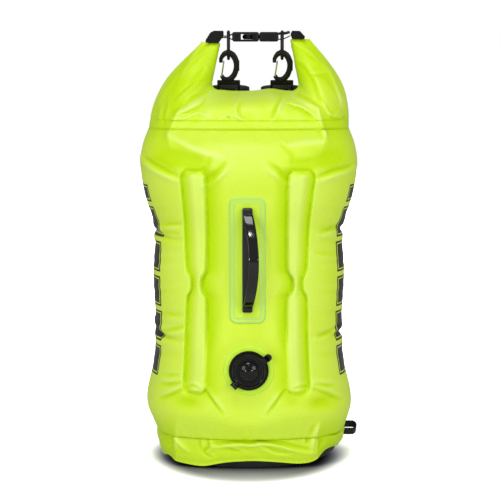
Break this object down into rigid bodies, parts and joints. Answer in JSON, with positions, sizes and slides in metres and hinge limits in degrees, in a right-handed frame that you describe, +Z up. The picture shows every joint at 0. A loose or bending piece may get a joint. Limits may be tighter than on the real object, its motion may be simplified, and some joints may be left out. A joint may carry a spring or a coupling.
{
  "type": "open water swim buoy",
  "caption": "Tall inflatable swim buoy and dry bag with a buckled roll-top closure, front grab handle, air valve and shoulder straps.",
  "frame": {"origin": "middle of the flat underside of the base", "axes": "+Z up along the bag, front with the handle and valve towards -Y, +X to the right seen from the front"},
  "size_m": [0.3035, 0.283, 0.5959],
  "materials": {
    "lime_fabric": "polyurethane-coated nylon, welded, satin",
    "lime_patch": "welded translucent TPU film, smooth",
    "grey_liner": "coated nylon liner",
    "black_fabric": "coated heavy nylon, matte",
    "webbing": "woven nylon webbing",
    "pad_fabric": "padded mesh with bound edges",
    "black_plastic": "moulded acetal, fine satin",
    "gloss_strap": "flexible TPU, glossy",
    "gloss_cap": "moulded, polished",
    "grey_rubber": "silicone",
    "spring_steel": "drawn stainless wire"
  },
  "bodies": {
    "bag": {"air_chamber": "lime_fabric", "dry_bag_liner": "grey_liner", "lower_skirt": "lime_fabric", "base_panel": "black_fabric", "neck": "lime_fabric", "roll_top": "lime_fabric", "stiffener_strip": "black_plastic", "end_tab_left": "webbing", "end_tab_right": "webbing", "closure_webbing_left": "webbing", "closure_webbing_right": "webbing", "buckle_female": "black_plastic", "buckle_male": "black_plastic", "hook_webbing_left": "webbing", "hook_webbing_right": "webbing", "shoulder_pad_left": "pad_fabric", "shoulder_pad_right": "pad_fabric", "pad_webbing_left": "webbing", "pad_webbing_right": "webbing", "ladder_lock_left": "black_plastic", "ladder_lock_right": "black_plastic", "lower_webbing_left": "webbing", "lower_webbing_right": "webbing", "anchor_tab_left": "black_fabric", "anchor_tab_right": "black_fabric", "tow_loop": "webbing", "handle_patch": "lime_patch", "handle_base": "black_plastic", "handle_strap": "gloss_strap", "valve_flange": "lime_patch", "valve_base": "black_plastic", "valve_seal": "grey_rubber"},
    "insert": {"valve_insert": "black_plastic"},
    "cap": {"valve_cap": "gloss_cap"},
    "flap": {"valve_flap": "grey_rubber"},
    "ring_left": {"d_ring_left": "black_plastic"},
    "ring_right": {"d_ring_right": "black_plastic"},
    "hook_left": {"snap_hook_left": "black_plastic"},
    "hook_right": {"snap_hook_right": "black_plastic"},
    "gate_left": {"wire_gate_left": "spring_steel"},
    "gate_right": {"wire_gate_right": "spring_steel"},
    "arm_front": {"buckle_arm_front": "black_plastic"},
    "arm_back": {"buckle_arm_back": "black_plastic"}
  },
  "joints": [
    {"name": "valve_insert_turn", "type": "hinge", "parent": "bag", "child": "insert", "pos_m": [0, -0.1045, 0.14], "axis": [0, -1, 0], "continuous": true},
    {"name": "valve_cap_hinge", "type": "hinge", "parent": "insert", "child": "cap", "pos_m": [-0.02015, -0.1134, 0.11985], "axis": [0.7071, 0, -0.7071], "range_deg": [0, 120]},
    {"name": "valve_flap_slide", "type": "slide", "parent": "insert", "child": "flap", "axis": [0, 1, 0], "range_m": [0, 0.0018], "stiffness_N_per_m": 40},
    {"name": "gate_left_open", "type": "hinge", "parent": "hook_left", "child": "gate_left", "pos_m": [-0.0376, 0.01023, 0.53316], "axis": [0, 0.9397, 0.342], "range_deg": [0, 25], "stiffness_Nm_per_rad": 0.05},
    {"name": "gate_right_open", "type": "hinge", "parent": "hook_right", "child": "gate_right", "pos_m": [0.0364, 0.01023, 0.53316], "axis": [0, 0.9397, 0.342], "range_deg": [0, 25], "stiffness_Nm_per_rad": 0.05},
    {"name": "hook_left_swing", "type": "hinge", "parent": "bag", "child": "hook_left", "pos_m": [-0.028, 0.01789, 0.51211], "axis": [1, 0, 0], "range_deg": [-4, 0]},
    {"name": "hook_right_swing", "type": "hinge", "parent": "bag", "child": "hook_right", "pos_m": [0.046, 0.01789, 0.51211], "axis": [1, 0, 0], "range_deg": [-4, 0]},
    {"name": "ring_left_swing", "type": "hinge", "parent": "bag", "child": "ring_left", "pos_m": [-0.028, 0, 0.587], "axis": [0, 1, 0], "range_deg": [-3, 5]},
    {"name": "ring_right_swing", "type": "hinge", "parent": "bag", "child": "ring_right", "pos_m": [0.046, 0, 0.587], "axis": [0, 1, 0], "range_deg": [-3, 5]},
    {"name": "buckle_arm_front_squeeze", "type": "hinge", "parent": "bag", "child": "arm_front", "pos_m": [0.01415, -0.01044, 0.587], "axis": [0, 0, -1], "range_deg": [0, 7], "stiffness_Nm_per_rad": 0.5},
    {"name": "buckle_arm_back_squeeze", "type": "hinge", "parent": "bag", "child": "arm_back", "pos_m": [0.01415, 0.01044, 0.587], "axis": [0, 0, 1], "range_deg": [0, 7], "stiffness_Nm_per_rad": 0.5}
  ],
  "couplings": [
    {"joint": "buckle_arm_back_squeeze", "follows": "buckle_arm_front_squeeze", "ratio": 1}
  ]
}
